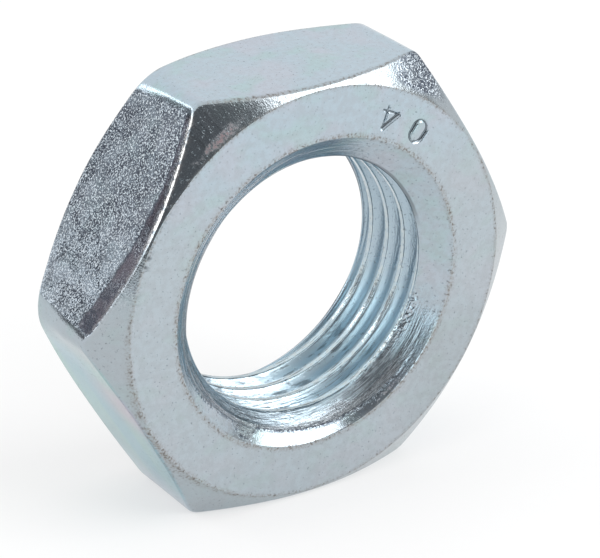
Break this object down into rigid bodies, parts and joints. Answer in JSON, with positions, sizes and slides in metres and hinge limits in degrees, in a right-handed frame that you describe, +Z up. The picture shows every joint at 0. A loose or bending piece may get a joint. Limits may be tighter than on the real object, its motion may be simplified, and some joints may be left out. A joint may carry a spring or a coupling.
{
  "type": "jam nut",
  "caption": "Thin zinc-plated steel hexagon nut with a fine right-hand internal thread, chamfered corners and countersunk mouths, for locking a full nut.",
  "frame": {"origin": "centre of the flat that the nut stands on, halfway through its thickness", "axes": "+Z up, square to the resting flat; +Y along the bore, away from the marked face; +X to the right as the marked face is looked at"},
  "size_m": [0.0274, 0.0076, 0.024],
  "materials": {
    "zinc_plated_steel": "blue-white zinc plate, satin, with a fine forged grain on the flats"
  },
  "bodies": {
    "root": {"nut_body": "zinc_plated_steel"}
  },
  "joints": []
}
